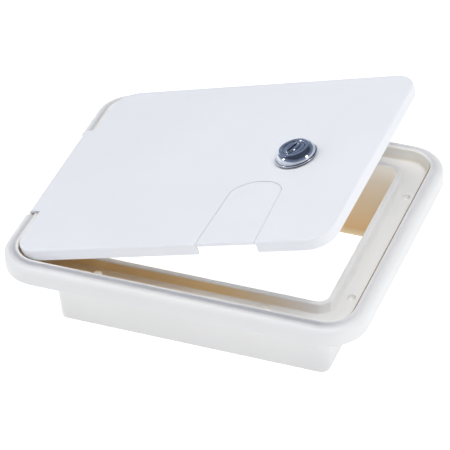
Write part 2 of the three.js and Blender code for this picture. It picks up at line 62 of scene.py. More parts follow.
LENGTH = 280
WIDTH = 230
OUTER_CORNER_RADIUS = 30.5
SEAT_Z = 55.4
SEAT_EDGE_ROUND = 0.8
SEAT_FILLET = 2.8
SHOULDER_CENTRE = (4.7, 64.8)
SHOULDER_ROUND = 4.5
DIP_HANDLES = ((6.3, 69.2), (7.7, 68.2))
CREST_Z = 71.2
CREST_CENTRE = 9.5
CREST_ROUND = 1.6
GUTTER_Z = 60
GUTTER_MIDDLE = 20.5
GUTTER_OUTER_ROUND = 1.4
GUTTER_INNER_ROUND = 1.2
LIP_Z = 68.7
LIP_WIDTH = 4.6
LIP_ROUND = 1.4
OPENING_INSET = 33
OPENING_CORNER_RADIUS = 8
SKIRT_DRAFT = 2.9
SKIRT_TOP_WALL = 1.2
FOOT_FLARE = ((-0.1, 8.2), (0, 6.8), (0.3, 5.6), (1.5, 1.4))
FOOT_INWARD = 1.5
FOOT_OUTWARD = 2
FOOT_ROUND = 0.6
CHANNEL = ((2.8, SEAT_Z - 2), (4.2, 65), (9, 66.2), (10, SEAT_Z - 2))
CHANNEL_STOP_INSET = 12
CHANNEL_STOP_HALF = 60

SCREW_HOLE_RADIUS = 3.1
END_SCREW_INSET = GUTTER_MIDDLE
END_SCREW_Y = 61.5
SIDE_SCREW_INSET = 23.5
SIDE_SCREW_X = 65

LEDGE_Z = 48.8
LEDGE_REACH = 7.2
LEDGE_EDGE = 1.8
LEDGE_ROOT = 7.5
LEDGE_HALF = 16

HINGE_GAP_INSET = 13
HINGE_GAP_HALF = 53.2
KNUCKLE_RADIUS = 2.8
KNUCKLE_Y = (31, 45.2)
EAR_Y = (45.7, 51.6)
PIN_BORE = 1.6

# ---- sizes of the lid, its seal and its flap ----------------------------------------------

LID_TOP = 71.6
LID_LEFT = -126.3
LID_RIGHT = 128.4
LID_HALF_Y = 103
LID_CORNER_RADIUS = 18.5
LID_EDGE_DEPTH = 9.3
LID_EDGE_ROUND = 1.2
LID_FOOT_ROUND = 0.6
LID_INNER_ROUND = 0.8
LID_WALL = 2.2
LID_WALL_DRAFT = 0.2
PLATE = 1.8
PLATE_UNDERSIDE = LID_TOP - PLATE
LID_BOTTOM = LID_TOP - LID_EDGE_DEPTH

TAB_ROOT_X = LID_LEFT + 3
TAB_X = -136.4
TAB_HALF_Y = 52.5
TAB_ROUND = 3.6
TAB_FOOT_DROP = 0.6

SEAL_HALF_WIDTH = 2
SEAL_ROUND = 0.4
SEAL_CLEARANCE = 0.3
SEAL_CORNER_RADIUS = 9.5
SEAL_FLAP_GAP = 2

FLAP_X = 49.4
FLAP_FRONT_HALF = 23.3
FLAP_REAR_HALF = 20.6
FLAP_SHOULDER_Y = -43.5
FLAP_TOP_Y = -28.6
FLAP_GAP = 0.5
FLAP_SET_BACK = 0.2
FLAP_PLATE = 2.6
FLAP_PIVOT_Y = -45
FLAP_PIVOT_Z = LID_TOP - 4
FLAP_BARREL_RADIUS = 2.2
FLAP_BARREL_HALF = FLAP_REAR_HALF - 4
FLAP_PIN_BORE = 1.2
FLAP_PIN_BORE_HALF = FLAP_REAR_HALF + FLAP_GAP + 6
BEARING_START = FLAP_REAR_HALF + FLAP_GAP + 0.4
BEARING_WIDTH = 4
BEARING_HALF = 3
BEARING_DROP = 2.4

# ---- sizes of the lock, from the lid's top along its own axis -----------------------------

LOCK_X = 66.6
LOCK_Y = 0.7
LOCK_HOLE_GAP = 0.5
LOCK_FLANGE_RADIUS = 16
LOCK_FLANGE_MIDDLE = 2
LOCK_FLANGE_ROUND = 0.7
COLLAR_FOOT = (15.05, 2.7)
COLLAR_HANDLES = ((15, 5.2), (13.6, 7.4))
COLLAR_TOP = (11.9, 8.1)
LOCK_FACE_RADIUS = 11.6
LOCK_FACE_Z = 8.5
LOCK_FACE_ROUND = 0.45
BARREL_RADIUS = 9.3
BARREL_END = -21
THREAD_PITCH = 1.25
THREAD_DEPTH = 0.5
STOP_RING_RADII = (6.9, 8.4)
STOP_RING_DEPTH = 2
STOP_RING_ANGLES = (104, 346)

PLUG_RADIUS = 6
PLUG_BORE = PLUG_RADIUS + 0.4
PLUG_HEAD_RADIUS = 8.2
PLUG_HEAD_BORE = PLUG_HEAD_RADIUS + 0.3
PLUG_HEAD_FLOOR = 3
PLUG_FACE_Z = LOCK_FACE_Z - 0.2
PLUG_EDGE_ROUND = 0.5
O_RING_GROOVE_RADIUS = 5
O_RING_GROOVE_Z = (-0.3, 1.2)
GUIDE_HALF_LENGTH = 7.6
GUIDE_HALF_WIDTH = 3.6
GUIDE_HEIGHT = 0.9
GUIDE_ROUND = 0.7
KEY_ANGLE = math.radians(68)
KEY_MOUTH_HALF = 5
KEY_MOUTH_ROUND = 1.3
KEY_MOUTH_DEPTH = 0.7
KEYWAY_HALF = 4.5
KEYWAY_HALF_WIDTH = 0.8
KEYWAY_END = -15.5
WAFER_COUNT = 5
WAFER_TOP_Z = -4
WAFER_PITCH = 2.4
WAFER_SLOT_HALF = (7, 2.1, 0.65)
TAIL_HALF = 3.5
TAIL_END = -26.3
CAM_SCREW_HOLE_RADIUS = 2.3
CAM_SCREW_HOLE_Z = (-28, -17)

# ---- colours ------------------------------------------------------------------------------

LID_SHADE = (0.84, 0.84, 0.845)
LID_LIGHT = (0.87, 0.872, 0.885)
FRAME_SHADE = (0.83, 0.82, 0.79)
FRAME_LIGHT = (0.86, 0.85, 0.83)
# Painted shade in the rim's groove beside the crest.
GROOVE_PAINTED_SHADE = (0.56, 0.55, 0.56)
# Painted shade, tan, in the frame's narrow creases.
CREASE_PAINTED_SHADE = (0.74, 0.47, 0.22)
# Painted shade, tan, in the gutters under the lid and behind the front rim.
GUTTER_PAINTED_SHADE = (0.88, 0.6, 0.28)
# Painted light on the lip's outer walls at its two ends.
LIP_PAINTED_LIGHT = (0.98, 0.97, 0.95)
# Painted shade, a dark brown line, along the crest's inner edge by the lock.
CREST_END_PAINTED_SHADE = (0.27, 0.2, 0.11)
# Painted shade down the frame's inner walls, with painted light along their foot.
WALL_CREST = (0.96, 0.93, 0.86)
WALL_TOP = (0.82, 0.74, 0.63)
WALL_MIDDLE = (0.74, 0.61, 0.43)
WALL_DEEP = (0.66, 0.44, 0.21)
WALL_FOOT = (0.78, 0.65, 0.44)
CHROME_SHADE = (0.55, 0.58, 0.64)
CHROME_LIGHT = (0.78, 0.8, 0.84)

# Painted shade on the inner walls, by share of the way up them, with painted light along their foot.
WALL_HEIGHT = 70
WALL_PAINTED_SHADES = (
    (0.02, WALL_FOOT),
    (0.09, WALL_DEEP),
    (0.5, WALL_MIDDLE),
    (0.76, WALL_TOP),
    (0.93, WALL_CREST),
)

# Where the frame's plastic gets its painted shade and painted light. A pair says where a change starts and is
# full; a band of four says where it starts, is full, is last full and has ended.
INWARD_FACING = (-0.25, -0.85)
CREASE_OPENNESS = (0.45, 0.15)
CREASE_REACH = 12
FLOOR_INSET = (13.5, 14.5, 26.5, 27.5)
GROOVE_INSET = (3, 7.4, 8.5, 9.6)
GROOVE_Z = (67.5, 68.5)
GROOVE_X = (130, 110)
GROOVE_LEAST = 0.4
LIP_END_STEEPNESS = (0.2, 0.7)
LIP_END_INSET = (26, 27.5, 29.5, 30.5)
LIP_END_Z = (59.5, 61, 68, 68.7)
GUTTER_SIDE_STEEPNESS = (0.3, 0.9)
GUTTER_SIDE_X = (110, 30)
GUTTER_FLOOR_X = (30, -90)
GUTTER_FLOOR_SHARE = 0.9
GUTTER_SHADE_INSET = (10.5, 11.5)
GUTTER_SHADE_Z = (57.5, 59.5, 67.2, 69)
CREST_END_INSET = (9.5, 9.9)
CREST_END_X = (0, 50)
CREST_END_Y = (96, 84)
CREST_END_Z = (68.8, 69.6)

# ---- camera and studio --------------------------------------------------------------------
# Places and sizes are metres here; the lens and its sensor are millimetres.

CAMERA_AZIMUTH = math.radians(23.18)
CAMERA_ELEVATION = math.radians(38.12)
CAMERA_ROLL = math.radians(-3.43)
CAMERA_DISTANCE = 2.1668
CAMERA_LENS = 234.5
CAMERA_SENSOR = 36
AIM_RIGHT = -0.0018
AIM_UP = -0.0163
AIM_HEIGHT = 0.072

HATCH_MIDDLE = (0, 0, 0.07)
LID_MIDDLE = (0, 0, 0.1)

# Name, place, target, size, power in watts, and whether it shows in reflections.
LIGHTS = (
    ("left_card", (-2.0, -0.85, 0.85), LID_MIDDLE, (0.35, 0.6), 5.5, True),
    ("right_card", (2.0, -0.3, 0.95), HATCH_MIDDLE, (0.4, 0.9), 5, True),
    ("left_key", (-1.7, 0.1, 1.9), LID_MIDDLE, (0.4, 0.4), 10.5, False),
    ("right_fill", (0.9, -0.35, 2.2), HATCH_MIDDLE, (1.0, 1.0), 19, False),
    ("overhead", (0.1, 0, 2.6), HATCH_MIDDLE, (2.0, 2.0), 27, False),
)

FLOOR_HALF = 4
FLOOR_DROP = 0.0002
FLOOR_GREY = (0.3, 0.3, 0.3)
FLOOR_GLOW = 1.1
FLOOR_BOUNCE = 0.95
BACKDROP = (0.85, 0.87, 0.9)
DARK_WALL = (0.22, 0.27, 0.38)
DARK_CEILING = (0.06, 0.075, 0.11)

# The room's colours, by how steeply up a ray looks: 0 is level and 1 is straight up.
ROOM_COLOURS = ((0.1, BACKDROP), (0.17, DARK_WALL), (0.4, DARK_WALL), (0.7, DARK_CEILING))

# The lid is drawn closed, then swung to where the frame's hinge holds it at rest.
hinge = next(joint for joint in frame["joints"] if joint["name"] == "lid_hinge")
HINGE = Vector(hinge["pos_m"])
OPEN_ANGLE = -math.radians(hinge["range_deg"][0])
HINGE_X = HINGE.x / MM
HINGE_Z = HINGE.z / MM
SWING = Matrix.Translation(HINGE) @ Matrix.Rotation(-OPEN_ANGLE, 4, "Y") @ Matrix.Translation(-HINGE)
LOCK_PLACE = SWING @ Matrix.Translation(Vector((LOCK_X, LOCK_Y, LID_TOP)) * MM)
PLUG_PLACE = LOCK_PLACE @ Matrix.Rotation(KEY_ANGLE, 4, "Z")


# ---- mesh helpers -------------------------------------------------------------------------


def new_piece(name, points, faces):
    """A mesh object from millimetre points, with its faces turned outward."""
    mesh = bpy.data.meshes.new(name)
    mesh.from_pydata([Vector(point) * MM for point in points], [], faces)
    mesh.validate()
    if signed_volume(mesh) < 0:
        mesh.flip_normals()
    piece = bpy.data.objects.new(name, mesh)
    bpy.context.scene.collection.objects.link(piece)
    return piece


def signed_volume(mesh):
    """Six times the volume, and negative if the faces point inward."""
    total = 0
    for face in mesh.polygons:
        corners = [mesh.vertices[index].co for index in face.vertices]
        for second, third in zip(corners[1:], corners[2:]):
            total += corners[0].dot(second.cross(third))
    return total


def arc(centre_u, centre_v, radius, start, end, steps):
    """Points round an arc, between two angles in degrees."""
    angles = [math.radians(start + (end - start) * i / steps) for i in range(steps + 1)]
    return [(centre_u + radius * math.cos(a), centre_v + radius * math.sin(a)) for a in angles]


def bezier(p0, p1, p2, p3, steps):
    """Points on a cubic curve, without its two ends."""
    points = []
    for i in range(1, steps):
        t = i / steps
        weights = ((1 - t) ** 3, 3 * t * (1 - t) ** 2, 3 * t * t * (1 - t), t**3)
        points.append(tuple(sum(w * p[k] for w, p in zip(weights, (p0, p1, p2, p3))) for k in (0, 1)))
    return points


def rounded_ring(centre_x, half_x, half_y, radius, z):
    """One level ring of a rounded rectangle."""
    ring = []
    for corner, (sign_x, sign_y) in enumerate(((1, 1), (-1, 1), (-1, -1), (1, -1))):
        for i in range(CORNER_STEPS + 1):
            angle = math.pi / 2 * (corner + i / CORNER_STEPS)
            x = centre_x + sign_x * (half_x - radius) + radius * math.cos(angle)
            y = sign_y * (half_y - radius) + radius * math.sin(angle)
            ring.append((x, y, z))
    return ring


def loft(name, rings, closed_loop):
    """Skins a row of rings. A closed loop needs no ends; an open row gets a flat cap at each."""
    count = len(rings[0])
    spans = len(rings) if closed_loop else len(rings) - 1
    faces = []
    for span in range(spans):
        low = span * count
        high = (span + 1) % len(rings) * count
        for i in range(count):
            after = (i + 1) % count
            faces.append((low + i, low + after, high + after, high + i))
    if not closed_loop:
        faces.append(tuple(reversed(range(count))))
        faces.append(tuple(range((len(rings) - 1) * count, len(rings) * count)))
    return new_piece(name, [point for ring in rings for point in ring], faces)


def prism(name, outline, place, low, high):
    """An outline pushed along one axis. `place` turns (u, v, along) into (x, y, z)."""
    count = len(outline)
    points = [place(u, v, along) for along in (low, high) for u, v in outline]
    sides = [(i, (i + 1) % count, count + (i + 1) % count, count + i) for i in range(count)]
    caps = [tuple(reversed(range(count))), tuple(range(count, 2 * count))]
    return new_piece(name, points, sides + caps)


def along_z(u, v, along):
    return (u, v, along)


def along_y(u, v, along):
    return (u, along, v)


def along_x(u, v, along):
    return (along, u, v)


def box(name, span_x, span_y, span_z):
    (left, right), (front, rear) = span_x, span_y
    outline = [(left, front), (right, front), (right, rear), (left, rear)]
    return prism(name, outline, along_z, *span_z)


def disc(centre_u, centre_v, radius, steps=48):
    """The outline of a round bar."""
    return arc(centre_u, centre_v, radius, 0, 360 * (steps - 1) / steps, steps - 1)


def turned(name, profile, steps=96):
    """A turned body from (radius, height) points; a closed profile makes a ring."""
    closed = profile[0] == profile[-1]
    rows = profile[:-1] if closed else profile
    points = []
    starts = []
    for radius, height in rows:
        starts.append(len(points))
        copies = 1 if radius == 0 else steps
        for i in range(copies):
            angle = 2 * math.pi * i / steps
            points.append((radius * math.cos(angle), radius * math.sin(angle), height))
    faces = []
    spans = len(rows) if closed else len(rows) - 1
    for row in range(spans):
        after = (row + 1) % len(rows)
        for i in range(steps):
            j = (i + 1) % steps
            low = [starts[row] + k if rows[row][0] else starts[row] for k in (i, j)]
            high = [starts[after] + k if rows[after][0] else starts[after] for k in (j, i)]
            corners = list(dict.fromkeys(low + high))
            if len(corners) > 2:
                faces.append(tuple(corners))
    return new_piece(name, points, faces)


def settle(piece):
    """Replaces the piece's mesh with what its modifiers make of it."""
    graph = bpy.context.evaluated_depsgraph_get()
    made = bpy.data.meshes.new_from_object(piece.evaluated_get(graph))
    piece.modifiers.clear()
    piece.data = made
    return piece


def combine(piece, tools, operation):
    """Joins tools to a piece, or cuts them out of it, and removes them."""
    for tool in tools:
        step = piece.modifiers.new("step", "BOOLEAN")
        step.operation = operation
        step.solver = "EXACT"
        step.object = tool
        settle(piece)
        bpy.data.objects.remove(tool)
    return piece


def join(piece, tools):
    return combine(piece, tools, "UNION")


def cut(piece, tools):
    return combine(piece, tools, "DIFFERENCE")


def finish_edges(piece, width):
    """Breaks the sharp edges and shades the rest smooth, with flat faces kept flat."""
    if width:
        bevel = piece.modifiers.new("bevel", "BEVEL")
        bevel.width = width * MM
        bevel.segments = 2
        bevel.limit_method = "ANGLE"
        bevel.angle_limit = SHARP_ANGLE
        settle(piece)
    mesh = piece.data
    mesh.polygons.foreach_set("use_smooth", [True] * len(mesh.polygons))
    mesh.set_sharp_from_angle(angle=SHARP_ANGLE)
    weighted = piece.modifiers.new("normals", "WEIGHTED_NORMAL")
    weighted.keep_sharp = True
    return settle(piece)


def present(piece, body, material, replaced=(), place=None):
    """Puts a finished piece in its place, gives it its material and lets it ride on its body."""
    if place is not None:
        piece.data.transform(place)
    piece.data.materials.clear()
    piece.data.materials.append(material)
    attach(piece, body)
    if replaced:
        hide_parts(*replaced)


def on_side(side, span):
    """The span as it is on the positive side, and mirrored on the negative one."""
    return (span[0], span[1]) if side > 0 else (-span[1], -span[0])


# ---- materials ----------------------------------------------------------------------------


def fill_ramp(node, stops):
    """Gives a colour ramp its (position, colour) stops."""
    elements = node.color_ramp.elements
    while len(elements) < len(stops):
        elements.new(0.5)
    for stop, (position, color) in zip(elements, stops):
        stop.position = position
        stop.color = (*color, 1)


class Nodes:
    """A short way to write a material's node tree."""

    def __init__(self, name):
        self.material = bpy.data.materials.new(name)
        self.material.use_nodes = True
        self.tree = self.material.node_tree
        self.shader = self.tree.nodes["Principled BSDF"]
        coordinates = self.add("ShaderNodeTexCoord")
        self.place = coordinates.outputs["Object"]
        self.facing = coordinates.outputs["Normal"]

    def add(self, kind, **inputs):
        node = self.tree.nodes.new(kind)
        for name, value in inputs.items():
            node.inputs[name.replace("_", " ")].default_value = value
        return node

    def link(self, source, target):
        self.tree.links.new(source, target)

    def noise(self, scale, detail=3, stretch=(1, 1, 1)):
        mapping = self.add("ShaderNodeMapping", Scale=stretch)
        self.link(self.place, mapping.inputs["Vector"])
        node = self.add("ShaderNodeTexNoise", Scale=scale, Detail=detail, Roughness=0.5)
        self.link(mapping.outputs["Vector"], node.inputs["Vector"])
        return node.outputs["Fac"]

    def spread(self, factor, low, high):
        """Low where the factor is 0, high where it is 1."""
        node = self.add("ShaderNodeMapRange")
        node.inputs["To Min"].default_value = low
        node.inputs["To Max"].default_value = high
        self.link(factor, node.inputs["Value"])
        return node.outputs["Result"]

    def fade(self, factor, start, end):
        """0 where the factor is at start, 1 where it is at end."""
        node = self.add("ShaderNodeMapRange")
        node.inputs["From Min"].default_value = start
        node.inputs["From Max"].default_value = end
        self.link(factor, node.inputs["Value"])
        return node.outputs["Result"]

    def fade_mm(self, factor, start, end):
        """The same between two lengths in millimetres."""
        return self.fade(factor, start * MM, end * MM)

    def band_mm(self, factor, stops):
        """Rises from 0 at the first stop to 1 at the second, holds to the third, is 0 at the fourth."""
        start, full, last, end = stops
        return self.times(self.fade_mm(factor, start, full), self.fade_mm(factor, end, last))

    def split(self, vector):
        node = self.add("ShaderNodeSeparateXYZ")
        self.link(vector, node.inputs["Vector"])
        return node

    def math(self, operation, first, second=None):
        node = self.add("ShaderNodeMath")
        node.operation = operation
        for socket, value in zip(node.inputs, (first, second)):
            if isinstance(value, (int, float)):
                socket.default_value = value
            elif value is not None:
                self.link(value, socket)
        return node.outputs["Value"]

    def times(self, first, *others):
        product = first
        for factor in others:
            product = self.math("MULTIPLY", product, factor)
        return product

    def steepness(self, axis):
        """1 on walls that face either way along the axis, 0 on level faces."""
        return self.math("ABSOLUTE", self.split(self.facing).outputs[axis])

    def mix(self, factor, first, second):
        node = self.add("ShaderNodeMix")
        node.data_type = "RGBA"
        self.link(factor, node.inputs["Factor"])
        self.link(first, node.inputs["A"])
        if isinstance(second, tuple):
            node.inputs["B"].default_value = (*second, 1)
        else:
            self.link(second, node.inputs["B"])
        return node.outputs["Result"]

    def ramp(self, factor, stops):
        node = self.add("ShaderNodeValToRGB")
        fill_ramp(node, stops)
        self.link(factor, node.inputs["Fac"])
        return node.outputs["Color"]

    def bump(self, height, strength, distance, below=None):
        node = self.add("ShaderNodeBump", Strength=strength, Distance=distance)
        self.link(height, node.inputs["Height"])
        if below is not None:
            self.link(below, node.inputs["Normal"])
        return node.outputs["Normal"]

    def set(self, **values):
        for name, value in values.items():
            self.shader.inputs[name.replace("_", " ")].default_value = value

    def drive(self, name, source):
        self.link(source, self.shader.inputs[name])


class FrameNodes(Nodes):
    """A node tree that knows its way about the frame."""

    def inset(self):
        """How far in from the frame's outer edge, seen from above."""
        corner = OUTER_CORNER_RADIUS * MM
        place = self.split(self.place)
        past = []
        for axis, size in (("X", LENGTH), ("Y", WIDTH)):
            reach = self.math("ABSOLUTE", place.outputs[axis])
            past.append(self.math("SUBTRACT", reach, size / 2 * MM - corner))
        squares = [self.math("POWER", self.math("MAXIMUM", value, 0), 2) for value in past]
        outside = self.math("SQRT", self.math("ADD", *squares))
        inside = self.math("MINIMUM", self.math("MAXIMUM", *past), 0)
        return self.math("SUBTRACT", corner, self.math("ADD", outside, inside))

    def outwardness(self):
        """About 1 on walls that face away from the middle of the hatch, and -1 on those towards it."""
        place = self.split(self.place)
        facing = self.split(self.facing)
        across = self.times(self.math("SIGN", place.outputs["X"]), facing.outputs["X"])
        along = self.times(self.math("SIGN", place.outputs["Y"]), facing.outputs["Y"])
        return self.math("ADD", across, along)

    def off_gutter_floor(self):
        """0 across the gutter's floor and down its screw holes, 1 elsewhere."""
        return self.math("SUBTRACT", 1, self.band_mm(self.inset(), FLOOR_INSET))

    def crease_shade(self):
        """Painted shade: 1 deep in the narrow folds, found by ambient occlusion, but not on the gutter's floor or
        down its screw holes.
        """
        crease = self.add("ShaderNodeAmbientOcclusion", Distance=CREASE_REACH * MM)
        crease.samples = 8
        return self.times(self.fade(crease.outputs["AO"], *CREASE_OPENNESS), self.off_gutter_floor())

    def inward_wall_shade(self):
        """Where the inner walls' painted shade goes: 1 on walls that face the middle of the hatch, 0 on tops,
        undersides and outer walls.
        """
        return self.times(self.fade(self.outwardness(), *INWARD_FACING), self.off_gutter_floor())

    def rim_groove_shade(self):
        """Painted shade: 1 on the slope between the rim's shoulder and its crest, and less by the lock, where more
        light falls.
        """
        place = self.split(self.place)
        above = self.fade_mm(place.outputs["Z"], *GROOVE_Z)
        strength = self.spread(self.fade_mm(place.outputs["X"], *GROOVE_X), GROOVE_LEAST, 1)
        return self.times(strength, above, self.band_mm(self.inset(), GROOVE_INSET))

    def lip_end_light(self):
        """Painted light: 1 on the lip's outer walls at its two ends, lifting them out of their shade."""
        steep = self.fade(self.steepness("X"), *LIP_END_STEEPNESS)
        height = self.band_mm(self.split(self.place).outputs["Z"], LIP_END_Z)
        return self.times(steep, height, self.band_mm(self.inset(), LIP_END_INSET))

    def gutter_shade(self):
        """Painted shade under the lid: the gutters' steep sides along the hatch, short of the lock, and their
        floor by the hinge.
        """
        place = self.split(self.place)
        steep = self.fade(self.steepness("Y"), *GUTTER_SIDE_STEEPNESS)
        sides = self.times(steep, self.fade_mm(place.outputs["X"], *GUTTER_SIDE_X))
        floor = self.times(self.fade_mm(place.outputs["X"], *GUTTER_FLOOR_X), GUTTER_FLOOR_SHARE)
        height = self.band_mm(place.outputs["Z"], GUTTER_SHADE_Z)
        within = self.fade_mm(self.inset(), *GUTTER_SHADE_INSET)
        return self.times(self.math("MAXIMUM", sides, floor), height, within)

    def crest_end_shade(self):
        """Painted shade: 1 on the inner half of the rim's crest along its lock end, 0 at the corners and lower
        down.
        """
        place = self.split(self.place)
        straight = self.fade_mm(self.math("ABSOLUTE", place.outputs["Y"]), *CREST_END_Y)
        lock_side = self.fade_mm(place.outputs["X"], *CREST_END_X)
        above = self.fade_mm(place.outputs["Z"], *CREST_END_Z)
        return self.times(straight, lock_side, above, self.fade_mm(self.inset(), *CREST_END_INSET))


def white_plastic():
    """Satin white moulded plastic: a faint cloudiness, a fine grain and a little sink and flow."""
    nodes = Nodes("white_abs")
    nodes.drive("Base Color", plastic_cloud(nodes, LID_SHADE, LID_LIGHT))
    plastic_surface(nodes)
    return nodes.material


def plastic_cloud(nodes, shade, light):
    return nodes.ramp(nodes.noise(scale=9, detail=4), [(0.3, shade), (0.7, light)])


def plastic_surface(nodes):
    nodes.drive("Roughness", nodes.spread(nodes.noise(scale=60, detail=5), 0.3, 0.42))
    sink = nodes.bump(nodes.noise(scale=14, detail=1), strength=0.2, distance=0.0004)
    grain = nodes.noise(scale=2600, detail=2)
    nodes.drive("Normal", nodes.bump(grain, strength=0.12, distance=0.00003, below=sink))
    nodes.set(Specular_IOR_Level=0.45)


def frame_plastic():
    """The same plastic with painted shade: grey in the rim's groove, tan in the creases, the gutters and on the
    inner walls, and a dark brown line along the crest by the lock; and painted light on the lip's ends.
    """
    nodes = FrameNodes("white_abs_frame")
    color = plastic_cloud(nodes, FRAME_SHADE, FRAME_LIGHT)
    color = nodes.mix(nodes.rim_groove_shade(), color, GROOVE_PAINTED_SHADE)
    color = nodes.mix(nodes.crease_shade(), color, CREASE_PAINTED_SHADE)
    color = nodes.mix(nodes.gutter_shade(), color, GUTTER_PAINTED_SHADE)
    color = nodes.mix(nodes.inward_wall_shade(), color, painted_wall_shade(nodes))
    color = nodes.mix(nodes.lip_end_light(), color, LIP_PAINTED_LIGHT)
    color = nodes.mix(nodes.crest_end_shade(), color, CREST_END_PAINTED_SHADE)
    nodes.drive("Base Color", color)
    plastic_surface(nodes)
    return nodes.material


def painted_wall_shade(nodes):
    """Painted shade, deeper and more golden down the wall, with a paler painted light along its foot."""
    height = nodes.split(nodes.place).outputs["Z"]
    return nodes.ramp(nodes.fade_mm(height, 0, WALL_HEIGHT), WALL_PAINTED_SHADES)


def chrome_plate():
    """Bright chrome with a slight orange peel and fine handling marks."""
    nodes = Nodes("chrome_plate")
    cloud = nodes.noise(scale=120)
    nodes.drive("Base Color", nodes.ramp(cloud, [(0.35, CHROME_SHADE), (0.7, CHROME_LIGHT)]))
    scratch = nodes.noise(scale=500, detail=4, stretch=(1, 9, 1))
    nodes.drive("Roughness", nodes.spread(scratch, 0.05, 0.16))
    peel = nodes.noise(scale=260, detail=2)
    nodes.drive("Normal", nodes.bump(peel, strength=0.1, distance=0.0001))
    nodes.set(Metallic=1)
    return nodes.material


def streaked_metal(name, dark, light, rough, streak):
    """Plated, drawn or stamped metal, streaked along its rolling direction."""
    nodes = Nodes(name)
    streaks = nodes.noise(scale=320, detail=5, stretch=streak)
    nodes.drive("Base Color", nodes.ramp(streaks, [(0.3, dark), (0.7, light)]))
    wear = nodes.noise(scale=700, detail=4, stretch=streak)
    nodes.drive("Roughness", nodes.spread(wear, *rough))
    nodes.drive("Normal", nodes.bump(streaks, strength=0.15, distance=0.00005))
    nodes.set(Metallic=1)
    return nodes.material


def soft_rubber(name, dark, light, cell_scale, depth):
    """Rubber or closed-cell foam with a fine pitted skin."""
    nodes = Nodes(name)
    nodes.drive("Base Color", nodes.ramp(nodes.noise(scale=90, detail=5), [(0.3, dark), (0.7, light)]))
    nodes.drive("Roughness", nodes.spread(nodes.noise(scale=400), 0.65, 0.9))
    cells = nodes.add("ShaderNodeTexVoronoi", Scale=cell_scale)
    nodes.link(nodes.place, cells.inputs["Vector"])
    nodes.drive("Normal", nodes.bump(cells.outputs["Distance"], strength=0.5, distance=depth))
    return nodes.material


def stainless_steel():
    return streaked_metal(
        "stainless_steel",
        dark=(0.5, 0.5, 0.5),
        light=(0.68, 0.68, 0.67),
        rough=(0.2, 0.36),
        streak=(1, 14, 1),
    )


def zinc_plated_steel():
    return streaked_metal(
        "zinc_plated_steel",
        dark=(0.46, 0.48, 0.5),
        light=(0.66, 0.67, 0.68),
        rough=(0.26, 0.46),
        streak=(8, 1, 1),
    )


def wafer_brass():
    return streaked_metal(
        "wafer_brass",
        dark=(0.5, 0.34, 0.12),
        light=(0.72, 0.53, 0.24),
        rough=(0.25, 0.4),
        streak=(1, 6, 1),
    )


def black_rubber():
    return soft_rubber(
        "black_rubber",
        dark=(0.018, 0.018, 0.018),
        light=(0.045, 0.045, 0.045),
        cell_scale=2200,
        depth=0.00005,
    )


def seal_foam():
    return soft_rubber(
        "seal_foam",
        dark=(0.1, 0.1, 0.105),
        light=(0.17, 0.17, 0.175),
        cell_scale=1400,
        depth=0.0002,
    )


FRAME_PLASTIC = frame_plastic()
MATERIALS = {
    "white_abs": white_plastic(),
    "chrome_plate": chrome_plate(),
    "stainless_steel": stainless_steel(),
    "zinc_plated_steel": zinc_plated_steel(),
    "wafer_brass": wafer_brass(),
    "black_rubber": black_rubber(),
    "seal_foam": seal_foam(),
}


def finish_cad_nodes():
    """Every carried-over node gets the material of its own slot."""
    for entry in frame["record"]["subparts"]:
        node = frame["nodes"][entry["node"]]
        material = MATERIALS[entry["material_slot"]]
        node.data.materials.clear()
        node.data.materials.append(material)


# ---- frame --------------------------------------------------------------------------------


def frame_corner_radius(inset):
    """Corners stay parallel to the outer edge round the rim, and to the opening round the lip."""
    if inset < GUTTER_MIDDLE:
        return OUTER_CORNER_RADIUS - inset
    return OPENING_CORNER_RADIUS + OPENING_INSET - inset


def frame_ring(point):
    inset, z = point
    return rounded_ring(0, LENGTH / 2 - inset, WIDTH / 2 - inset, frame_corner_radius(inset), z)


def rim_section():
    """From the seat's edge over the shoulder, the dip and the crest."""
    shoulder = arc(*SHOULDER_CENTRE, SHOULDER_ROUND, 180, 85, 9)
    crest = arc(CREST_CENTRE, CREST_Z - CREST_ROUND, CREST_ROUND, 140, 0, 10)
    return [
        *arc(SEAT_EDGE_ROUND, SEAT_Z + SEAT_EDGE_ROUND, SEAT_EDGE_ROUND, 270, 180, 3),
        *shoulder,
        *bezier(shoulder[-1], *DIP_HANDLES, crest[0], 9),
        *crest,
    ]


def gutter_and_lip_section():
    """Across the gutter's floor and over the lip that the seal rests on."""
    outer_corner = CREST_CENTRE + CREST_ROUND + GUTTER_OUTER_ROUND
    lip_outer = OPENING_INSET - LIP_WIDTH
    inner_corner = lip_outer - 0.1 - GUTTER_INNER_ROUND
    lip_top = LIP_Z - LIP_ROUND
    return [
        *arc(outer_corner, GUTTER_Z + GUTTER_OUTER_ROUND, GUTTER_OUTER_ROUND, 180, 270, 5),
        *arc(inner_corner, GUTTER_Z + GUTTER_INNER_ROUND, GUTTER_INNER_ROUND, 270, 355, 5),
        *arc(lip_outer + LIP_ROUND, lip_top, LIP_ROUND, 180, 90, 5),
        *arc(OPENING_INSET - LIP_ROUND, lip_top, LIP_ROUND, 90, 3, 5),
    ]


def skirt_section():
    """Down inside the skirt, round its foot, and up outside it to the seat."""
    wall = OPENING_INSET + SKIRT_DRAFT
    fillet_centre = OPENING_INSET - SKIRT_TOP_WALL - SEAT_FILLET
    return [
        *[(wall + past, z) for past, z in FOOT_FLARE],
        *arc(wall + FOOT_INWARD - FOOT_ROUND, FOOT_ROUND, FOOT_ROUND, 0, -90, 3),
        *arc(wall - FOOT_OUTWARD + FOOT_ROUND, FOOT_ROUND, FOOT_ROUND, 270, 182, 3),
        (OPENING_INSET - SKIRT_TOP_WALL, SEAT_Z - 3),
        *arc(fillet_centre, SEAT_Z - SEAT_FILLET, SEAT_FILLET, 5, 90, 4),
    ]


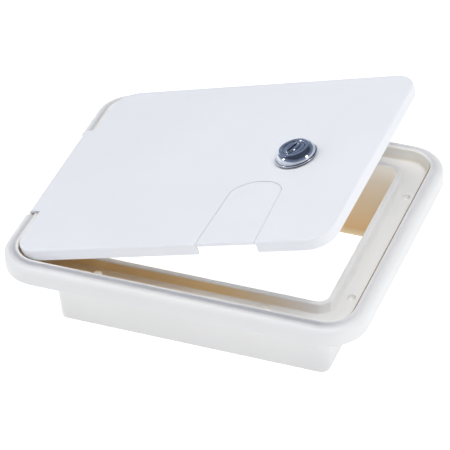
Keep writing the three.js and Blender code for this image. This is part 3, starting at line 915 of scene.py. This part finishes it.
def rim_channel():
    """The hollow under the rim, which stops short of the hinge."""
    channel = loft("channel", [frame_ring(point) for point in CHANNEL], closed_loop=True)
    block_x = (-LENGTH, CHANNEL_STOP_INSET - LENGTH / 2)
    return cut(channel, [box("block", block_x, (-CHANNEL_STOP_HALF, CHANNEL_STOP_HALF), (0, 2 * LENGTH))])


def rim_gap():
    """The break in the rim that the lid's tab swings down through."""
    gap_x = (-LENGTH, HINGE_GAP_INSET - LENGTH / 2)
    return box("gap", gap_x, (-HINGE_GAP_HALF, HINGE_GAP_HALF), (GUTTER_Z, 2 * LENGTH))


def screw_holes():
    low = SEAT_Z - 3
    high = GUTTER_Z + 3
    holes = []
    for side in (-1, 1):
        for along in (-1, 1):
            centres = [
                (side * (LENGTH / 2 - END_SCREW_INSET), along * END_SCREW_Y),
                (along * SIDE_SCREW_X, side * (WIDTH / 2 - SIDE_SCREW_INSET)),
            ]
            for x, y in centres:
                holes.append(prism("hole", disc(x, y, SCREW_HOLE_RADIUS), along_z, low, high))
    return holes


def ear(side):
    """An ear beside the rim's break carries one hinge pin."""
    outline = [
        (HINGE_X - KNUCKLE_RADIUS, GUTTER_Z - DEEP_SINK),
        (HINGE_X + KNUCKLE_RADIUS, GUTTER_Z - DEEP_SINK),
        *arc(HINGE_X, HINGE_Z, KNUCKLE_RADIUS, 0, 180, 16),
    ]
    return prism("ear", outline, along_y, *on_side(side, EAR_Y))


def strike_ledge():
    """The lock's cam turns in under this ledge."""
    wall = LENGTH / 2 - OPENING_INSET
    outline = [
        (wall + SINK, LEDGE_Z),
        (wall - LEDGE_REACH, LEDGE_Z),
        (wall - LEDGE_REACH, LEDGE_Z + LEDGE_EDGE),
        (wall + SINK, LEDGE_Z + LEDGE_ROOT),
    ]
    return prism("ledge", outline, along_y, -LEDGE_HALF, LEDGE_HALF)


def pin_bore():
    return prism("bore", disc(HINGE_X, HINGE_Z, PIN_BORE, 24), along_y, -LENGTH / 2, LENGTH / 2)


def make_frame():
    section = [*rim_section(), *gutter_and_lip_section(), *skirt_section()]
    body = loft("frame_moulding", [frame_ring(point) for point in section], closed_loop=True)
    cut(body, [rim_channel(), rim_gap(), *screw_holes()])
    ears = join(ear(1), [ear(-1)])
    cut(ears, [pin_bore()])
    join(body, [ears, strike_ledge()])
    finish_edges(body, width=0.3)
    present(body, "frame", FRAME_PLASTIC, ["frame"])


# ---- lid ----------------------------------------------------------------------------------


def lid_ring(inset, z):
    centre_x = (LID_LEFT + LID_RIGHT) / 2
    half_x = (LID_RIGHT - LID_LEFT) / 2
    return rounded_ring(centre_x, half_x - inset, LID_HALF_Y - inset, LID_CORNER_RADIUS - inset, z)


def lid_shell():
    foot = arc(LID_FOOT_ROUND, LID_BOTTOM + LID_FOOT_ROUND, LID_FOOT_ROUND, 270, 180, 3)
    edge = arc(LID_EDGE_ROUND, LID_TOP - LID_EDGE_ROUND, LID_EDGE_ROUND, 180, 90, 6)
    outer = loft("lid_moulding", [lid_ring(inset, z) for inset, z in foot + edge], closed_loop=False)
    corner_z = PLATE_UNDERSIDE - LID_INNER_ROUND
    corner = arc(LID_WALL + LID_INNER_ROUND, corner_z, LID_INNER_ROUND, 180, 90, 4)
    inside = [(LID_WALL - LID_WALL_DRAFT, LID_BOTTOM - 1), *corner]
    return cut(outer, [loft("inside", [lid_ring(inset, z) for inset, z in inside], closed_loop=False)])


def tab():
    """The plate rolls over at its outer edge; its two ends stay clear of the frame's ears."""
    centre = (TAB_X + TAB_ROUND, LID_TOP - TAB_ROUND)
    foot_z = HINGE_Z - TAB_FOOT_DROP
    rolled = [
        (TAB_ROOT_X, LID_TOP),
        *arc(*centre, TAB_ROUND, 90, 180, 10),
        (TAB_X, foot_z),
        (TAB_X + PLATE, foot_z),
        *arc(*centre, TAB_ROUND - PLATE, 180, 90, 6),
        (TAB_ROOT_X, PLATE_UNDERSIDE),
    ]
    end_angle = 90 + math.degrees(math.acos((TAB_ROUND - PLATE) / TAB_ROUND))
    thin = [
        (TAB_ROOT_X, LID_TOP),
        *arc(*centre, TAB_ROUND, 90, end_angle, 8),
        (TAB_ROOT_X, PLATE_UNDERSIDE),
    ]
    middle = prism("tab", rolled, along_y, -KNUCKLE_Y[1], KNUCKLE_Y[1])
    end_y = (KNUCKLE_Y[1] - 2, TAB_HALF_Y)
    ends = [prism("end", thin, along_y, *on_side(side, end_y)) for side in (-1, 1)]
    return join(middle, [*ends, knuckle(-1), knuckle(1)])


def knuckle(side):
    """A block under the tab that turns on one hinge pin."""
    outline = [
        *arc(HINGE_X, HINGE_Z, KNUCKLE_RADIUS, 180, 360, 14),
        (HINGE_X + KNUCKLE_RADIUS, PLATE_UNDERSIDE + DEEP_SINK),
        (HINGE_X - 1, PLATE_UNDERSIDE + DEEP_SINK),
        (HINGE_X - KNUCKLE_RADIUS, LID_TOP - 3),
    ]
    return prism("knuckle", outline, along_y, *on_side(side, KNUCKLE_Y))


def flap_bearings():
    """Two blocks under the lid that hold the ends of the flap's pin."""
    blocks = []
    span_y = (FLAP_PIVOT_Y - BEARING_HALF, FLAP_PIVOT_Y + BEARING_HALF)
    span_z = (FLAP_PIVOT_Z - BEARING_DROP, PLATE_UNDERSIDE + SINK)
    for side in (-1, 1):
        low, high = on_side(side, (BEARING_START, BEARING_START + BEARING_WIDTH))
        blocks.append(box("block", (FLAP_X + low, FLAP_X + high), span_y, span_z))
    return blocks


def flap_outline(front_y, grow):
    """A tapering tongue with a half-elliptical end; `grow` moves it outward all round."""
    along = (front_y - FLAP_SHOULDER_Y) / (-LID_HALF_Y - FLAP_SHOULDER_Y)
    front_half = FLAP_REAR_HALF + (FLAP_FRONT_HALF - FLAP_REAR_HALF) * along + grow
    rear_half = FLAP_REAR_HALF + grow
    rise = FLAP_TOP_Y - FLAP_SHOULDER_Y + grow
    arch = arc(0, 0, 1, 0, 180, 48)
    end = [(FLAP_X + rear_half * c, FLAP_SHOULDER_Y + rise * s) for c, s in arch]
    return [(FLAP_X - front_half, front_y), (FLAP_X + front_half, front_y), *end]


def flap_tongue(front_y, grow):
    """A tall tongue that cuts the flap's place out of the lid or its seal."""
    return prism("tongue", flap_outline(front_y, grow), along_z, 0, 2 * LENGTH)


def flap_pin_bore():
    circle = disc(FLAP_PIVOT_Y, FLAP_PIVOT_Z, FLAP_PIN_BORE, 20)
    return prism("bore", circle, along_x, FLAP_X - FLAP_PIN_BORE_HALF, FLAP_X + FLAP_PIN_BORE_HALF)


def lock_hole():
    circle = disc(LOCK_X, LOCK_Y, BARREL_RADIUS + LOCK_HOLE_GAP)
    return prism("hole", circle, along_z, 0, 2 * LENGTH)


def make_lid():
    shell = lid_shell()
    join(shell, [tab(), *flap_bearings()])
    cut(shell, [pin_bore(), flap_tongue(-LID_HALF_Y - 1, FLAP_GAP), lock_hole(), flap_pin_bore()])
    finish_edges(shell, width=0.22)
    present(shell, "lid", MATERIALS["white_abs"], ["lid"], SWING)


def make_cable_flap():
    outline = flap_outline(-LID_HALF_Y + FLAP_SET_BACK, 0)
    plate = prism("flap_moulding", outline, along_z, LID_TOP - FLAP_PLATE, LID_TOP)
    circle = disc(FLAP_PIVOT_Y, FLAP_PIVOT_Z, FLAP_BARREL_RADIUS, 32)
    barrel = prism("barrel", circle, along_x, FLAP_X - FLAP_BARREL_HALF, FLAP_X + FLAP_BARREL_HALF)
    join(plate, [barrel])
    cut(plate, [flap_pin_bore()])
    finish_edges(plate, width=0.3)
    present(plate, "cable_flap", MATERIALS["white_abs"], ["cable_flap"], SWING)


def make_lid_seal():
    """A flat foam strip over the frame's lip, left open where the flap lifts."""
    half_x = LENGTH / 2 - OPENING_INSET + LIP_WIDTH / 2
    half_y = WIDTH / 2 - OPENING_INSET + LIP_WIDTH / 2
    low = LIP_Z + SEAL_CLEARANCE
    high = PLATE_UNDERSIDE - SEAL_CLEARANCE
    corner = SEAL_HALF_WIDTH - SEAL_ROUND
    section = [
        (-SEAL_HALF_WIDTH, high),
        (-SEAL_HALF_WIDTH, low + SEAL_ROUND),
        *arc(-corner, low + SEAL_ROUND, SEAL_ROUND, 180, 270, 3),
        *arc(corner, low + SEAL_ROUND, SEAL_ROUND, 270, 360, 3),
        (SEAL_HALF_WIDTH, high),
    ]
    rings = [rounded_ring(0, half_x + out, half_y + out, SEAL_CORNER_RADIUS + out, z) for out, z in section]
    seal = loft("lid_seal_strip", rings, closed_loop=True)
    cut(seal, [flap_tongue(-LID_HALF_Y, SEAL_FLAP_GAP)])
    finish_edges(seal, width=0)
    present(seal, "lid", MATERIALS["seal_foam"], ["lid_seal"], SWING)


# ---- lock ---------------------------------------------------------------------------------


def thread(radius, depth, low, high):
    """Ridges down a threaded barrel, as (radius, height) points from low to high."""
    count = int((high - low) / THREAD_PITCH)
    points = []
    for i in range(count):
        z = low + i * THREAD_PITCH
        points += [(radius - depth, z), (radius, z + 0.4 * THREAD_PITCH), (radius, z + 0.55 * THREAD_PITCH)]
    return points + [(radius - depth, high)]


def make_lock_body():
    """Barrel, flange and domed collar, turned in one, with the bore and the head's seat inside."""
    flange_edge = LOCK_FLANGE_RADIUS - LOCK_FLANGE_ROUND
    profile = [
        (PLUG_BORE, BARREL_END),
        (BARREL_RADIUS - 0.8, BARREL_END),
        *thread(BARREL_RADIUS, THREAD_DEPTH, BARREL_END + 0.5, -0.5),
        (BARREL_RADIUS - THREAD_DEPTH, LOCK_FLANGE_MIDDLE - LOCK_FLANGE_ROUND),
        *arc(flange_edge, LOCK_FLANGE_MIDDLE, LOCK_FLANGE_ROUND, -90, 90, 10),
        COLLAR_FOOT,
        *bezier(COLLAR_FOOT, *COLLAR_HANDLES, COLLAR_TOP, 12),
        COLLAR_TOP,
        *arc(LOCK_FACE_RADIUS - 0.5, LOCK_FACE_Z - LOCK_FACE_ROUND, LOCK_FACE_ROUND, 30, 90, 4),
        (PLUG_HEAD_BORE + 0.25, LOCK_FACE_Z),
        (PLUG_HEAD_BORE, LOCK_FACE_Z - 0.3),
        (PLUG_HEAD_BORE, PLUG_HEAD_FLOOR),
        (PLUG_BORE, PLUG_HEAD_FLOOR),
        (PLUG_BORE, BARREL_END),
    ]
    housing = turned("lock_housing", profile, 128)
    finish_edges(housing, width=0)
    present(housing, "lid", MATERIALS["chrome_plate"], ["lock_body"], LOCK_PLACE)
    present(stop_ring(), "lid", MATERIALS["chrome_plate"], place=LOCK_PLACE)


def stop_ring():
    """The part-ring on the barrel's end that leaves the cam's stop a quarter turn."""
    start, end = STOP_RING_ANGLES
    inner_radius, outer_radius = STOP_RING_RADII
    outline = arc(0, 0, outer_radius, start, end, 60) + arc(0, 0, inner_radius, end, start, 60)
    ring = prism("lock_stop_ring", outline, along_z, BARREL_END - STOP_RING_DEPTH, BARREL_END + 0.2)
    return finish_edges(ring, width=0.15)


def plug_body():
    """The barrel with its O-ring groove and its wider head."""
    groove_low, groove_high = O_RING_GROOVE_Z
    edge = PLUG_HEAD_RADIUS - PLUG_EDGE_ROUND
    profile = [
        (0, BARREL_END - 0.4),
        (PLUG_RADIUS - 0.4, BARREL_END - 0.4),
        (PLUG_RADIUS, BARREL_END),
        (PLUG_RADIUS, groove_low),
        (O_RING_GROOVE_RADIUS, groove_low),
        (O_RING_GROOVE_RADIUS, groove_high),
        (PLUG_RADIUS, groove_high),
        (PLUG_RADIUS, PLUG_HEAD_FLOOR + 0.4),
        (PLUG_HEAD_RADIUS, PLUG_HEAD_FLOOR + 0.4),
        *arc(edge, PLUG_FACE_Z - PLUG_EDGE_ROUND, PLUG_EDGE_ROUND, 0, 90, 4),
        (0, PLUG_FACE_Z),
    ]
    return turned("lock_key_barrel", profile)


def key_guide():
    """A raised oval on the key barrel's face, turned round and then squashed to its width."""
    edge = GUIDE_HALF_LENGTH - GUIDE_ROUND
    round_z = PLUG_FACE_Z + GUIDE_HEIGHT - GUIDE_ROUND
    profile = [
        (0, PLUG_FACE_Z - 1),
        (GUIDE_HALF_LENGTH, PLUG_FACE_Z - 1),
        *arc(edge, round_z, GUIDE_ROUND, 0, 90, 5),
        (0, PLUG_FACE_Z + GUIDE_HEIGHT),
    ]
    guide = turned("guide", profile)
    guide.data.transform(Matrix.Diagonal((1, GUIDE_HALF_WIDTH / GUIDE_HALF_LENGTH, 1, 1)))
    return guide


def key_mouth():
    """The round-ended dish that the key slot opens into."""
    slot_end = arc(KEY_MOUTH_HALF, 0, KEY_MOUTH_ROUND, -90, 90, 10)
    outline = slot_end + [(-u, -v) for u, v in slot_end]
    return prism("mouth", outline, along_z, PLUG_FACE_Z - KEY_MOUTH_DEPTH, PLUG_FACE_Z + 3)


def keyway():
    span_x = (-KEYWAY_HALF, KEYWAY_HALF)
    span_y = (-KEYWAY_HALF_WIDTH, KEYWAY_HALF_WIDTH)
    return box("keyway", span_x, span_y, (KEYWAY_END, PLUG_FACE_Z + 3))


def wafer_slots():
    half_x, half_y, half_z = WAFER_SLOT_HALF
    slots = []
    for i in range(WAFER_COUNT):
        z = WAFER_TOP_Z - WAFER_PITCH * i
        slots.append(box("slot", (-half_x, half_x), (-half_y, half_y), (z - half_z, z + half_z)))
    return slots


def make_plug():
    """The key barrel, with an oval guide round the key slot and a square tail for the cam."""
    plug = plug_body()
    tail = box("tail", (-TAIL_HALF, TAIL_HALF), (-TAIL_HALF, TAIL_HALF), (TAIL_END, BARREL_END))
    join(plug, [key_guide(), tail])
    screw_hole = prism("hole", disc(0, 0, CAM_SCREW_HOLE_RADIUS, 32), along_z, *CAM_SCREW_HOLE_Z)
    cut(plug, [key_mouth(), keyway(), screw_hole, *wafer_slots()])
    finish_edges(plug, width=0.12)
    present(plug, "lock_plug", MATERIALS["chrome_plate"], ["lock_plug"], PLUG_PLACE)


# ---- studio -------------------------------------------------------------------------------


def make_camera():
    ground = math.cos(CAMERA_ELEVATION)
    ahead = (math.sin(CAMERA_AZIMUTH) * ground, -math.cos(CAMERA_AZIMUTH) * ground)
    back = Vector((*ahead, math.sin(CAMERA_ELEVATION)))
    right = Vector((math.cos(CAMERA_AZIMUTH), math.sin(CAMERA_AZIMUTH), 0))
    up = back.cross(right)
    place = back * CAMERA_DISTANCE + right * AIM_RIGHT + up * AIM_UP + Vector((0, 0, AIM_HEIGHT))
    roll_right = right * math.cos(CAMERA_ROLL) + up * math.sin(CAMERA_ROLL)
    roll_up = up * math.cos(CAMERA_ROLL) - right * math.sin(CAMERA_ROLL)
    turn = Matrix((roll_right, roll_up, back)).transposed().to_4x4()
    data = bpy.data.cameras.new("camera")
    data.sensor_width = CAMERA_SENSOR
    data.lens = CAMERA_LENS
    camera = bpy.data.objects.new("camera", data)
    camera.matrix_world = Matrix.Translation(place) @ turn
    bpy.context.scene.collection.objects.link(camera)
    bpy.context.scene.camera = camera


def area_light(name, place, target, size, power, in_reflections):
    data = bpy.data.lights.new(name, "AREA")
    data.shape = "RECTANGLE"
    data.size, data.size_y = size
    data.energy = power
    light = bpy.data.objects.new(name, data)
    light.location = place
    light.rotation_euler = (Vector(place) - Vector(target)).to_track_quat("Z", "Y").to_euler()
    light.visible_glossy = in_reflections
    bpy.context.scene.collection.objects.link(light)


def floor_material():
    """Pale grey with a glow of its own, a little stronger seen directly than as bounced light."""
    nodes = Nodes("floor")
    nodes.set(Base_Color=(*FLOOR_GREY, 1), Roughness=0.8, Emission_Color=(1, 1, 1, 1))
    rays = nodes.add("ShaderNodeLightPath")
    nodes.drive("Emission Strength", nodes.spread(rays.outputs["Is Camera Ray"], FLOOR_BOUNCE, FLOOR_GLOW))
    return nodes.material


def make_floor():
    """A wide pale floor, like a lit white table."""
    half = FLOOR_HALF / MM
    corners = [(-half, -half, 0), (half, -half, 0), (half, half, 0), (-half, half, 0)]
    floor = new_piece("floor", corners, [(0, 1, 2, 3)])
    floor.location.z = -FLOOR_DROP
    floor.data.materials.append(floor_material())


def make_world():
    """A pale backdrop up to just over the horizon, in a dim blue-grey room, darker overhead."""
    world = bpy.data.worlds.new("studio")
    world.use_nodes = True
    tree = world.node_tree
    place = tree.nodes.new("ShaderNodeTexCoord")
    split = tree.nodes.new("ShaderNodeSeparateXYZ")
    ramp = tree.nodes.new("ShaderNodeValToRGB")
    fill_ramp(ramp, ROOM_COLOURS)
    tree.links.new(place.outputs["Generated"], split.inputs["Vector"])
    tree.links.new(split.outputs["Z"], ramp.inputs["Fac"])
    tree.links.new(ramp.outputs["Color"], tree.nodes["Background"].inputs["Color"])
    bpy.context.scene.world = world


def make_studio():
    """A low light on each side that gleams in the chrome, and three soft lights hidden from it."""
    for light in LIGHTS:
        area_light(*light)
    make_world()
    bpy.context.scene.view_settings.view_transform = "Standard"


make_camera()
make_studio()
make_floor()
finish_cad_nodes()
make_frame()
make_lid()
make_cable_flap()
make_lid_seal()
make_lock_body()
make_plug()
